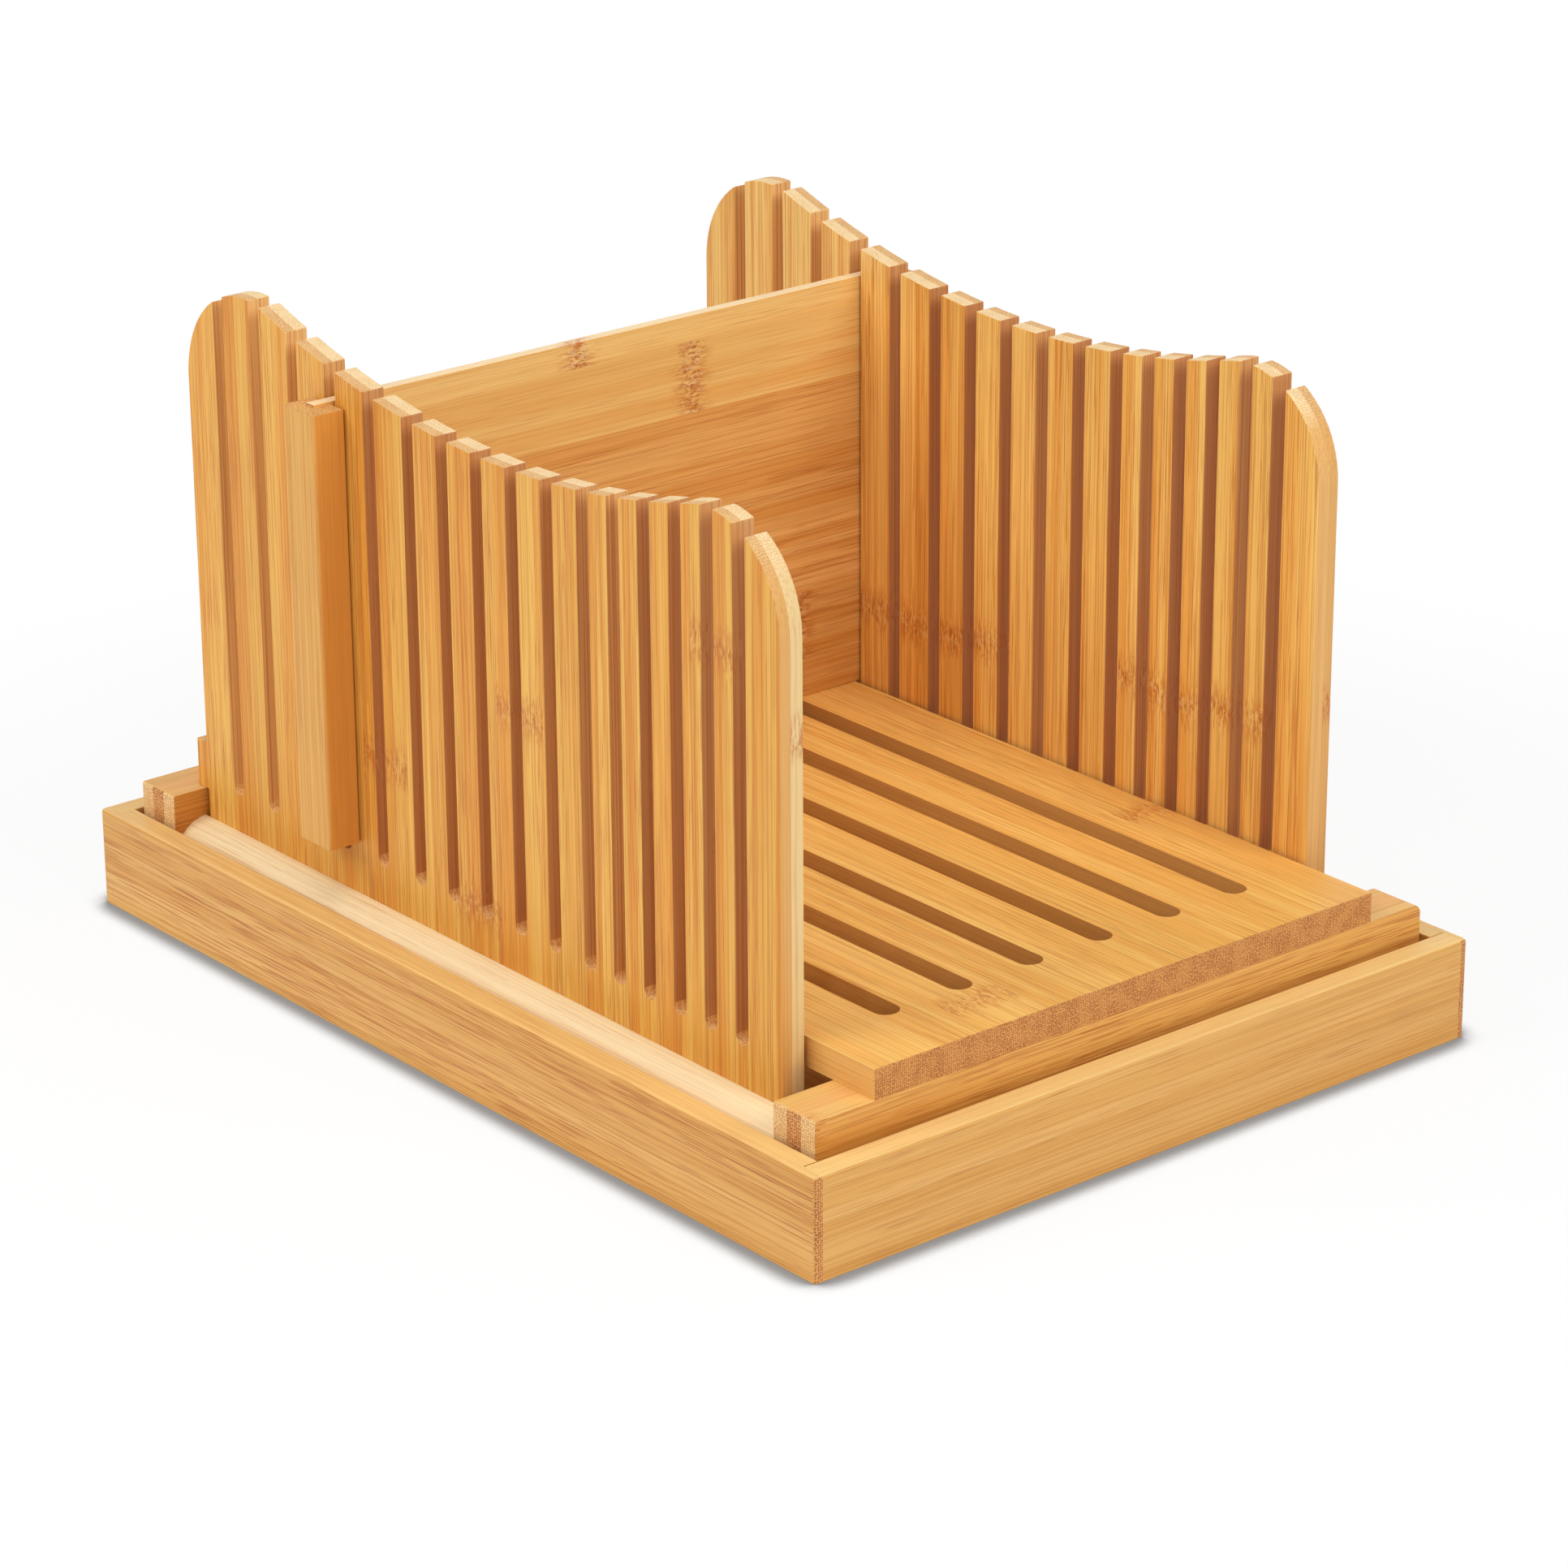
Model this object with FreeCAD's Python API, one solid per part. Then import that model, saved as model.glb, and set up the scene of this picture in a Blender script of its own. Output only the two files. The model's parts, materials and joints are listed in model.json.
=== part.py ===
import FreeCAD, Part
import math
import os

# Bread slicer guide: a bamboo slicing frame with a slotted guide on each side, a stop that drops into a
# pair of slots behind the loaf, and the crumb tray that the frame stands in.
#
# Millimetres. +Z is up, +X is across the loaf, and the slices fall towards -Y, the front.
# The origin is on the table, under the middle of the crumb tray.

# ---- Driving dimensions ------------------------------------------------------------------------------

# Crumb tray
TRAY_HEIGHT = 29.0
TRAY_WALL = 7.3            # thickness of the four rails
TRAY_LIP = 2.6             # what the corner rabbets leave of a side rail, over the end rail's end
TRAY_FLOOR = 4.0           # thickness of the floor panel
TRAY_FLOOR_LIFT = 3.0      # underside of the floor panel above the table
FLOOR_GROOVE = 3.5         # depth of the groove that holds the floor panel
FLOOR_PLAY = 0.3           # room for the floor panel to move in its groove
TRAY_CORNER_ROUND = 1.5
TRAY_EDGE_BEVEL = 0.6

# Crossbars, each laminated from upright plies
CROSSBAR_HEIGHT = 31.2
CROSSBAR_PLIES = ("inner", "middle", "outer")
CROSSBAR_PLY = 5.4
CROSSBAR_ROUND_RIGHT = 2.5
CROSSBAR_ROUND_LEFT = 0.8
SIDE_PLAY = 1.2            # between a crossbar's end and the tray's side
END_PLAY = 2.6             # between a crossbar's face and the tray's end

# Bread board with its crumb slots
BOARD_WIDTH = 174.4
BOARD_THICKNESS = 8.5
CRUMB_SLOTS = 6
CRUMB_SLOT_WIDTH = 7.5
CRUMB_SLOT_PITCH = 24.5
CRUMB_SLOT_MARGIN = 22.5   # between a crumb slot's end and the board's end

# Slotted guides, each laminated from two plies
OUTER_PLY = 3.2
INNER_PLY = 4.1
BOARD_GAP = 1.1            # between the board's edge and the guide
KNIFE_SLOT_WIDTH = 4.8
KNIFE_SLOT_DROP = 5.3      # how far the knife slots reach below the board's top
SLICE_PITCHES = (17.5, 15.0, 12.5)   # thick, middle and thin slices, from the rear to the front
PITCHES_OF_EACH = 5
END_TOOTH = 13.5           # width of the first and last teeth
DIP_RISE = 124.0           # lowest point of the guide's top above the board
DIP_RADIUS = 325.0
DIP_SETBACK = 113.8        # lowest point of the guide's top behind its front edge
FRONT_ROUND = 28.0
REAR_ROUND = 28.5
GUIDE_FRONT_GAP = 9.5      # between the guide and the front crossbar
GUIDE_REAR_GAP = 1.5       # between the guide and the rear crossbar
LUG_BEARING = 3.3          # how far the guide's rear lug reaches over the rear crossbar
LUG_HEIGHT = 14.5
LUG_ROUND = 2.5

# Quarter-round foot strips along the outside of the guides
STRIP_WIDTH = 10.9
STRIP_HEIGHT = 23.0

# Stop: a thin panel of edge-glued planks, with a cleat on each end outside the guides
STOP_SLOT = 3              # the pair of knife slots it stands in, counted from the rear
STOP_HEIGHT = 124.0
STOP_PLANK = 21.0
STOP_TOP_PLANK = 7.5       # what is left of the uppermost plank
STOP_LEAST_PLANK = 4.0     # the plank on the board takes the rest, and is at least this high
STOP_PLAY = 0.6            # between the panel and each side of the knife slot
CLEAT_WIDTH = 14.4
CLEAT_THICKNESS = 10.0
CLEAT_GROOVE = 6.0         # depth of the groove that holds the panel's end
CLEAT_PLAY = 0.4           # between a cleat and the guide's outer face
CLEAT_TOP_DROP = 1.0       # the panel stands this much above the cleats
CLEAT_BOTTOM_DROP = 1.5    # the cleats hang this much below the panel
CLEAT_ROUND = 1.2

# Hidden dowels
DOWEL_RADIUS = 2.0
GLUE_GAP = 0.05            # around a dowel in its hole
HOLE_SPARE = 0.5           # a blind hole is this much deeper than its dowel
BOARD_DOWEL_SPACING = 120.0
BOARD_DOWEL_IN_BOARD = 5.0
BOARD_DOWEL_IN_BAR = 14.0
STRIP_DOWEL_IN_STRIP = 12.0
STRIP_DOWEL_IN_BAR = 9.0
STRIP_DOWEL_RISE = 12.0    # above the foot of the frame

# ---- Heights and places that follow from them --------------------------------------------------------

FOOT_Z = TRAY_FLOOR_LIFT + TRAY_FLOOR
BAR_TOP = FOOT_Z + CROSSBAR_HEIGHT
BOARD_TOP = BAR_TOP + BOARD_THICKNESS
KNIFE_SLOT_FLOOR = BOARD_TOP - KNIFE_SLOT_DROP

GUIDE_INNER_X = BOARD_WIDTH / 2 + BOARD_GAP
PLY_JOINT_X = GUIDE_INNER_X + INNER_PLY
GUIDE_OUTER_X = PLY_JOINT_X + OUTER_PLY
BAR_END_X = GUIDE_OUTER_X + STRIP_WIDTH
TRAY_INNER_X = BAR_END_X + SIDE_PLAY
TRAY_OUTER_X = TRAY_INNER_X + TRAY_WALL

GUIDE_LENGTH = 2 * END_TOOTH + PITCHES_OF_EACH * sum(SLICE_PITCHES) + KNIFE_SLOT_WIDTH
BAR_INNER_Y = (GUIDE_LENGTH + GUIDE_FRONT_GAP + GUIDE_REAR_GAP) / 2
BAR_WIDTH = len(CROSSBAR_PLIES) * CROSSBAR_PLY
BAR_MIDDLE_Y = BAR_INNER_Y + BAR_WIDTH / 2
BAR_OUTER_Y = BAR_INNER_Y + BAR_WIDTH
TRAY_INNER_Y = BAR_OUTER_Y + END_PLAY
TRAY_OUTER_Y = TRAY_INNER_Y + TRAY_WALL
GUIDE_FRONT_Y = GUIDE_FRONT_GAP - BAR_INNER_Y
GUIDE_REAR_Y = BAR_INNER_Y - GUIDE_REAR_GAP

STOP_THICKNESS = KNIFE_SLOT_WIDTH - 2 * STOP_PLAY
STOP_TOP = BOARD_TOP + STOP_HEIGHT
CLEAT_INNER_X = GUIDE_OUTER_X + CLEAT_PLAY
STOP_END_X = CLEAT_INNER_X + CLEAT_GROOVE

SIDES = {"left": -1, "right": 1}
ENDS = {"front": -1, "rear": 1}


def knife_slot_places():
    """The y of each knife slot's middle, from the rear to the front."""
    place = GUIDE_REAR_Y - END_TOOTH - KNIFE_SLOT_WIDTH / 2
    places = [place]
    for pitch in SLICE_PITCHES:
        for _ in range(PITCHES_OF_EACH):
            place -= pitch
            places.append(place)
    return places


STOP_Y = knife_slot_places()[STOP_SLOT]

# ---- Small tools -------------------------------------------------------------------------------------

ALONG_X = FreeCAD.Vector(1, 0, 0)
ALONG_Y = FreeCAD.Vector(0, 1, 0)
ALONG_Z = FreeCAD.Vector(0, 0, 1)


def block(low, high):
    """A box between two corners, whichever way round each pair of coordinates is."""
    corner = FreeCAD.Vector(*[min(a, b) for a, b in zip(low, high)])
    size = [abs(b - a) for a, b in zip(low, high)]
    return Part.makeBox(size[0], size[1], size[2], corner)


def rod(radius, start, end):
    """A cylinder from one point to another."""
    start = FreeCAD.Vector(*start)
    run = FreeCAD.Vector(*end) - start
    return Part.makeCylinder(radius, run.Length, start, run)


def mirrored(shape, axis):
    """The shape's mirror image in the middle plane across the axis."""
    return shape.mirror(FreeCAD.Vector(0, 0, 0), axis)


def on_side(shape, side):
    """A shape made for the right, put on the given side."""
    return shape if side > 0 else mirrored(shape, ALONG_X)


def on_end(shape, end):
    """A shape made for the rear, put at the given end."""
    return shape if end > 0 else mirrored(shape, ALONG_Y)


def rounded(shape, radius, chosen):
    """The shape with the edges rounded whose middle the chosen test picks."""
    edges = [edge for edge in shape.Edges if chosen(edge.CenterOfMass)]
    return shape.makeFillet(radius, edges)


def bevelled(shape, depth, chosen):
    """The shape with the edges bevelled whose middle the chosen test picks."""
    edges = [edge for edge in shape.Edges if chosen(edge.CenterOfMass)]
    return shape.makeChamfer(depth, edges)


def near(a, b):
    return abs(a - b) < 0.01


def arc(centre, radius, start, end):
    """An arc in the YZ plane, its angles in radians from +Y towards +Z."""
    def point(angle):
        y = centre[0] + radius * math.cos(angle)
        z = centre[1] + radius * math.sin(angle)
        return FreeCAD.Vector(0, y, z)
    return Part.Arc(point(start), point((start + end) / 2), point(end)).toShape()


def chain(points):
    """Straight edges from point to point in the YZ plane."""
    corners = [FreeCAD.Vector(0, y, z) for y, z in points]
    return [Part.makeLine(a, b) for a, b in zip(corners, corners[1:])]


# ---- Crumb tray --------------------------------------------------------------------------------------

def floor_panel(depth):
    """The floor panel's space, reaching this far into the rails."""
    x = TRAY_INNER_X + depth
    y = TRAY_INNER_Y + depth
    return block((-x, -y, TRAY_FLOOR_LIFT), (x, y, FOOT_Z))


def tray_side_rail():
    """The right rail: full length, rabbeted at both ends so that its lips cover the end rails."""
    rail = block((TRAY_INNER_X, -TRAY_OUTER_Y, 0), (TRAY_OUTER_X, TRAY_OUTER_Y, TRAY_HEIGHT))
    for end in ENDS.values():
        rabbet = block((TRAY_INNER_X, end * TRAY_INNER_Y, 0),
                       (TRAY_OUTER_X - TRAY_LIP, end * TRAY_OUTER_Y, TRAY_HEIGHT))
        rail = rail.cut(rabbet)
    rail = rail.cut(floor_panel(FLOOR_GROOVE))
    rail = rounded(rail, TRAY_CORNER_ROUND,
                   lambda p: near(p.x, TRAY_OUTER_X) and near(abs(p.y), TRAY_OUTER_Y)
                   and near(p.z, TRAY_HEIGHT / 2))
    return bevelled(rail, TRAY_EDGE_BEVEL,
                    lambda p: near(p.x, TRAY_OUTER_X) and near(p.y, 0) and near(p.z, TRAY_HEIGHT))


def tray_end_rail():
    """The rear rail, between the lips of the side rails."""
    x = TRAY_OUTER_X - TRAY_LIP
    rail = block((-x, TRAY_INNER_Y, 0), (x, TRAY_OUTER_Y, TRAY_HEIGHT))
    rail = rail.cut(floor_panel(FLOOR_GROOVE))
    return bevelled(rail, TRAY_EDGE_BEVEL,
                    lambda p: near(p.y, TRAY_OUTER_Y) and near(p.x, 0) and near(p.z, TRAY_HEIGHT))


def crumb_tray():
    pieces = {"tray_floor": floor_panel(FLOOR_GROOVE - FLOOR_PLAY)}
    for name, side in SIDES.items():
        pieces["tray_rail_" + name] = on_side(tray_side_rail(), side)
    for name, end in ENDS.items():
        pieces["tray_rail_" + name] = on_end(tray_end_rail(), end)
    return pieces


# ---- Dowels: each function makes one group, and a little larger it cuts the group's holes ---------------

def board_dowels(gap=0.0, spare=0.0):
    """Upright dowels between the crossbars' middle plies and the board."""
    dowels = []
    for side in SIDES.values():
        for end in ENDS.values():
            x = side * BOARD_DOWEL_SPACING / 2
            y = end * BAR_MIDDLE_Y
            dowels.append(rod(DOWEL_RADIUS + gap,
                              (x, y, BAR_TOP - BOARD_DOWEL_IN_BAR - spare),
                              (x, y, BAR_TOP + BOARD_DOWEL_IN_BOARD + spare)))
    return Part.makeCompound(dowels)


def strip_dowels(gap=0.0, spare=0.0):
    """Level dowels between the foot strips' ends and the crossbars."""
    dowels = []
    for side in SIDES.values():
        for end in ENDS.values():
            x = side * (GUIDE_OUTER_X + STRIP_WIDTH / 2)
            z = FOOT_Z + STRIP_DOWEL_RISE
            dowels.append(rod(DOWEL_RADIUS + gap,
                              (x, end * (BAR_INNER_Y - STRIP_DOWEL_IN_STRIP - spare), z),
                              (x, end * (BAR_INNER_Y + STRIP_DOWEL_IN_BAR + spare), z)))
    return Part.makeCompound(dowels)


# ---- Slicing frame: crossbars, board, foot strips and guides ------------------------------------------

def crossbar_ply(inner_y):
    """One ply of the rear crossbar, its inner face at the given y."""
    ply = block((-BAR_END_X, inner_y, FOOT_Z), (BAR_END_X, inner_y + CROSSBAR_PLY, BAR_TOP))
    for side, radius in ((1, CROSSBAR_ROUND_RIGHT), (-1, CROSSBAR_ROUND_LEFT)):
        ply = rounded(ply, radius, lambda p: near(p.x, side * BAR_END_X) and near(p.z, BAR_TOP))
    return ply


def crossbars():
    pieces = {}
    for name, end in ENDS.items():
        for layer, ply_name in enumerate(CROSSBAR_PLIES):
            ply = on_end(crossbar_ply(BAR_INNER_Y + layer * CROSSBAR_PLY), end)
            ply = ply.cut(board_dowels(GLUE_GAP, HOLE_SPARE)).cut(strip_dowels(GLUE_GAP, HOLE_SPARE))
            pieces["crossbar_" + name + "_" + ply_name + "_ply"] = ply
    return pieces


def crumb_slot(x):
    """A long round-ended slot through the board."""
    radius = CRUMB_SLOT_WIDTH / 2
    reach = BAR_OUTER_Y - CRUMB_SLOT_MARGIN - radius
    slot = block((x - radius, -reach, BAR_TOP), (x + radius, reach, BOARD_TOP))
    for end in ENDS.values():
        slot = slot.fuse(rod(radius, (x, end * reach, BAR_TOP), (x, end * reach, BOARD_TOP)))
    return slot


def bread_board():
    """The board that the loaf lies on, over the crossbars and flush with their outer faces."""
    board = block((-BOARD_WIDTH / 2, -BAR_OUTER_Y, BAR_TOP), (BOARD_WIDTH / 2, BAR_OUTER_Y, BOARD_TOP))
    for number in range(CRUMB_SLOTS):
        board = board.cut(crumb_slot((number - (CRUMB_SLOTS - 1) / 2) * CRUMB_SLOT_PITCH))
    return board.cut(board_dowels(GLUE_GAP, HOLE_SPARE))


def foot_strip():
    """The right foot strip: upright against the guide, rounded over to the outside."""
    start = FreeCAD.Vector(GUIDE_OUTER_X, -BAR_INNER_Y, FOOT_Z)
    round_centre = FreeCAD.Vector(GUIDE_OUTER_X, -BAR_INNER_Y, FOOT_Z + STRIP_HEIGHT - STRIP_WIDTH)
    crown = round_centre + ALONG_Z * STRIP_WIDTH
    shoulder = round_centre + ALONG_X * STRIP_WIDTH
    between = round_centre + (ALONG_X + ALONG_Z) * (STRIP_WIDTH / math.sqrt(2))
    edges = [Part.makeLine(start, crown),
             Part.Arc(crown, between, shoulder).toShape(),
             Part.makeLine(shoulder, start + ALONG_X * STRIP_WIDTH),
             Part.makeLine(start + ALONG_X * STRIP_WIDTH, start)]
    strip = Part.Face(Part.Wire(edges)).extrude(ALONG_Y * (2 * BAR_INNER_Y))
    return strip.cut(strip_dowels(GLUE_GAP, HOLE_SPARE))


def guide_outline():
    """The guide's outline in the YZ plane: a long dip between two round shoulders, and a rear lug."""
    dip = (GUIDE_FRONT_Y + DIP_SETBACK, BOARD_TOP + DIP_RISE + DIP_RADIUS)

    def shoulder(radius, y):
        """The centre of a shoulder that the dip runs into smoothly, and the angle to the dip's centre."""
        drop = math.sqrt((DIP_RADIUS + radius) ** 2 - (y - dip[0]) ** 2)
        return (y, dip[1] - drop), math.atan2(drop, dip[0] - y)

    front, front_angle = shoulder(FRONT_ROUND, GUIDE_FRONT_Y + FRONT_ROUND)
    rear, rear_angle = shoulder(REAR_ROUND, GUIDE_REAR_Y - REAR_ROUND)
    lug_y = GUIDE_REAR_Y + GUIDE_REAR_GAP + LUG_BEARING
    lug_top = BAR_TOP + LUG_HEIGHT
    return Part.Wire(
        chain([(GUIDE_FRONT_Y, FOOT_Z), (GUIDE_FRONT_Y, front[1])])
        + [arc(front, FRONT_ROUND, math.pi, front_angle),
           arc(dip, DIP_RADIUS, front_angle + math.pi, rear_angle + math.pi),
           arc(rear, REAR_ROUND, rear_angle, 0)]
        + chain([(GUIDE_REAR_Y, rear[1]), (GUIDE_REAR_Y, lug_top), (lug_y - LUG_ROUND, lug_top)])
        + [arc((lug_y - LUG_ROUND, lug_top - LUG_ROUND), LUG_ROUND, math.pi / 2, 0)]
        + chain([(lug_y, lug_top - LUG_ROUND), (lug_y, BAR_TOP), (GUIDE_REAR_Y, BAR_TOP),
                 (GUIDE_REAR_Y, FOOT_Z), (GUIDE_FRONT_Y, FOOT_Z)]))


def knife_slots(top):
    """The round-bottomed slots that the knife runs in, as one cutter through a right-hand guide."""
    radius = KNIFE_SLOT_WIDTH / 2
    floor = KNIFE_SLOT_FLOOR + radius
    cutters = []
    for y in knife_slot_places():
        slot = block((GUIDE_INNER_X, y - radius, floor), (GUIDE_OUTER_X, y + radius, top))
        cutters.append(slot.fuse(rod(radius, (GUIDE_INNER_X, y, floor), (GUIDE_OUTER_X, y, floor))))
    return Part.makeCompound(cutters)


def guide_ply(inner_x, outer_x):
    """One ply of the right guide, with its teeth."""
    ply = Part.Face(guide_outline()).extrude(ALONG_X * (outer_x - inner_x))
    ply.translate(ALONG_X * inner_x)
    return ply.cut(knife_slots(ply.BoundBox.ZMax))


def slicing_frame():
    pieces = crossbars()
    pieces["bread_board"] = bread_board()
    for name, side in SIDES.items():
        pieces["foot_strip_" + name] = on_side(foot_strip(), side)
        pieces["guide_" + name + "_inner_ply"] = on_side(guide_ply(GUIDE_INNER_X, PLY_JOINT_X), side)
        pieces["guide_" + name + "_outer_ply"] = on_side(guide_ply(PLY_JOINT_X, GUIDE_OUTER_X), side)
    pieces["board_dowels"] = board_dowels()
    pieces["strip_dowels"] = strip_dowels()
    return pieces


# ---- Stop: the panel and its two cleats ----------------------------------------------------------------

def stop_panel(bottom, top):
    """The stop panel's space between two heights."""
    return block((-STOP_END_X, STOP_Y - STOP_THICKNESS / 2, bottom),
                 (STOP_END_X, STOP_Y + STOP_THICKNESS / 2, top))


def stop_cleat():
    """The right cleat, grooved for the panel's end, with its outer corners eased."""
    outer_x = CLEAT_INNER_X + CLEAT_THICKNESS
    top = STOP_TOP - CLEAT_TOP_DROP
    cleat = block((CLEAT_INNER_X, STOP_Y - CLEAT_WIDTH / 2, BOARD_TOP - CLEAT_BOTTOM_DROP),
                  (outer_x, STOP_Y + CLEAT_WIDTH / 2, top))
    middle = (top + BOARD_TOP - CLEAT_BOTTOM_DROP) / 2
    cleat = rounded(cleat, CLEAT_ROUND, lambda p: near(p.x, outer_x) and near(p.z, middle))
    return cleat.cut(stop_panel(BOARD_TOP, STOP_TOP))


def stop_joints():
    """Heights of the stop panel's edges and of the glue lines between them, from the board up."""
    heights = [STOP_TOP, STOP_TOP - STOP_TOP_PLANK]
    while heights[-1] - STOP_PLANK > BOARD_TOP + STOP_LEAST_PLANK:
        heights.append(heights[-1] - STOP_PLANK)
    return [BOARD_TOP] + heights[::-1]


def stop():
    pieces = {}
    joints = stop_joints()
    for number, (bottom, top) in enumerate(zip(joints, joints[1:]), 1):
        pieces["stop_plank_" + str(number)] = stop_panel(bottom, top)
    for name, side in SIDES.items():
        pieces["stop_cleat_" + name] = on_side(stop_cleat(), side)
    return pieces


# ---- The whole slicer, one file for each piece ---------------------------------------------------------

os.makedirs("parts", exist_ok=True)
for pieces in (crumb_tray(), slicing_frame(), stop()):
    for name, shape in pieces.items():
        shape.exportStep("parts/" + name + ".step")
        print(name, round(shape.Volume), shape.isValid())
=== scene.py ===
import json
import math
import random

import bmesh
import bpy
from bpy.props import FloatProperty, FloatVectorProperty, IntProperty, PointerProperty
from mathutils import Euler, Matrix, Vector


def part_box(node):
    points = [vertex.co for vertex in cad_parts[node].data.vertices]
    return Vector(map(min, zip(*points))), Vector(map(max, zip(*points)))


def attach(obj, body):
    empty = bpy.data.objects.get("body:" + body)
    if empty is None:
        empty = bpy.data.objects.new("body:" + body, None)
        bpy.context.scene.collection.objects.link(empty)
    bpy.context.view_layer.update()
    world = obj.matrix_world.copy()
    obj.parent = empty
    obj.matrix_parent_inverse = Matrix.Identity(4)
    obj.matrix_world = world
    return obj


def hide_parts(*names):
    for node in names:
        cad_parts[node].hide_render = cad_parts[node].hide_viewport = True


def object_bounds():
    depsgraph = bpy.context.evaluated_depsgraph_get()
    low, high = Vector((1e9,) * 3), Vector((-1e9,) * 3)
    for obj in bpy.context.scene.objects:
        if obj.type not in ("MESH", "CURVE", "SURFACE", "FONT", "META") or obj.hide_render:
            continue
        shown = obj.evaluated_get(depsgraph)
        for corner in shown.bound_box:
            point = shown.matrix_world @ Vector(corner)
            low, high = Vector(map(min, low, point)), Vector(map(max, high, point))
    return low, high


bl_info = {
    "name": "Bread slicer guide",
    "version": (1, 0, 0),
    "blender": (4, 5, 0),
    "location": "3D View > Sidebar > Bread slicer",
    "description": "Dresses the bread slicer's pieces in bamboo and sets up its studio",
    "category": "Object",
}

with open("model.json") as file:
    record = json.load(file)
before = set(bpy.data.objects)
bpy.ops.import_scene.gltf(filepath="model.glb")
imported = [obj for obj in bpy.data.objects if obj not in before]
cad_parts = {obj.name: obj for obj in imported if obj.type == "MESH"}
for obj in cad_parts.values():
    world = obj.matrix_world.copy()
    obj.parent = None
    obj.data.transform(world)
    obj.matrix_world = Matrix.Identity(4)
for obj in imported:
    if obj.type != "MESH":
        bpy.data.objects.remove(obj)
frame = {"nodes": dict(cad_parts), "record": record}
CAD_BOX = [list(corner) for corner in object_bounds()]

MILLIMETRE = 0.001
TRAY = "crumb_tray"
FRAME = "slicing_frame"
STOP = "loaf_stop"
SIDES = ("left", "right")
ENDS = ("front", "rear")
UPPER_PLANKS = 2                   # of the stop's planks, the uppermost ones are lighter
DOWEL_AXES = {"board_dowels": "Z", "strip_dowels": "Y"}

# Copies of the packed pieces
MERGE_DISTANCE = 0.002 * MILLIMETRE
FLAT_ANGLE = math.radians(0.5)     # flatter edges are dissolved
CORNER_ANGLE = math.radians(30)    # sharper edges are bevelled
SMOOTH_ANGLE = math.radians(40)    # flatter edges are shaded smooth
SHOULDER = 6 * MILLIMETRE          # no knife slot is this near to a guide's front or rear end
FOOT_HEIGHT = 10 * MILLIMETRE      # no knife slot reaches down to this height above a guide's foot
FLOOR_RISE = 2.5 * MILLIMETRE      # how high a knife slot's round floor rises at its sides
LOOKS_UP = 0.9                     # a slot's lowest facet has a larger share of its normal along z
LOOKS_ALONG = 0.8                  # a slot's wall has a larger share along y
LOOKS_ASIDE = 0.3                  # a slot's floor has a smaller share along x
PALEST_FAR_SLOT = 0.6                    # the palest that a knife slot far from the rear end can be

# Grain: how each axis of a part is turned to the grain's X, which axis of the part the strips'
# narrow faces look along, and how far apart in the patterns pieces with seeds 0 and 1 lie
GRAIN_TURNS = {"X": (0, 0, 0), "Y": (0, 0, -math.pi / 2), "Z": (0, math.pi / 2, 0)}
NARROW_AXES = {"XY": "Y", "XZ": "Z", "YY": "X", "YZ": "Z", "ZY": "Y", "ZZ": "X"}
GRAIN_JUMPS = (913.0, 37.0, 53.0)
SEEDS = {"tray_floor": 0.4, "bread_board": 0.3}

# Growth nodes: where they are along the grain, in millimetres, in the pieces that show theirs, and
# over what length the others' are scattered
KNOTS = {"stop_plank_7": -10.0, "stop_plank_6": 30.0, "stop_plank_5": -66.0,
         "guide_left_outer_ply": 98.0, "guide_left_inner_ply": 110.0,
         "guide_right_outer_ply": 98.0, "guide_right_inner_ply": 86.0}
KNOT_SPREAD = 150.0
KNOT_WAVER = 7.0                   # how far a growth node wavers along the grain
RIPPLE_HEIGHT = 2.4                # how far it sways the fibres sideways

# Patterns in the wood: how many ripples to a millimetre along and across the grain, the noise's
# detail and roughness, and between which of its values the pattern appears
PATTERNS = {
    "bands": (0.003, 0.24, 2.0, 0.5, (0.38, 0.62)),
    "fibres": (0.008, 1.9, 2.0, 0.6, (0.5, 0.58)),
    "dashes": (0.045, 2.6, 1.0, 0.5, (0.55, 0.61)),
    "dash_patches": (0.008, 0.12, 1.0, 0.5, (0.34, 0.62)),
    "knot_waver": (0.0, 0.35, 1.0, 0.5, None),
    "knot_ripple": (0.16, 0.75, 2.0, 0.6, None),
    "knot_flame": (0.2, 1.4, 2.0, 0.65, (0.42, 0.6)),
    # a growth node's light flecks are partly painted sheen
    "knot_flecks_and_sheen": (0.5, 1.1, 1.0, 0.5, (0.5, 0.62)),
    "pore_crowding": (0.0, 0.2, 1.0, 0.5, (0.35, 0.65)),
}
SPARSE_DASHES = 0.35               # how strong the dashes are outside their patches
KNOT_CORE = (0.55, 0.9)            # where in a growth node its core of light flecks, partly painted sheen, and dark pits begins and is complete
PIT_PLACES = (0.6, 1.2, 1.2)       # pits to a millimetre, along the grain and across it
PIT_EDGE = (0.36, 0.2)             # a pit's outer and inner radius, for pits one apart
PORE_EDGES = (0.42, 0.66)          # a pore's outer radius, for pores one apart, sparse and crowded
PORE_CORE = 0.16                   # its inner radius
PORE_SCATTER = 0.5                 # how unevenly the pores are placed
SAWN_FIBRES = (0.4, 0.65)          # between these values of their noise the fibres show in sawn wood

# How strongly each mark colours the wood; the knife slots' darker colour is partly painted shade
STRENGTHS = {"bands": 0.75, "fibres": 0.75, "dashes": 0.8, "edge_fibres": 0.45, "edge_dashes": 0.3,
             "knot_flame": 0.8, "knot_flecks_and_sheen": 0.5, "pits": 0.6, "pores": 0.9, "sawn_fibres": 0.6,
             "sawn": 0.85}

# Which of a part's faces show end grain, and which the strips' narrow faces
END_FACING = (0.45, 0.8)
EDGE_FACING = (0.55, 0.85)

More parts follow.
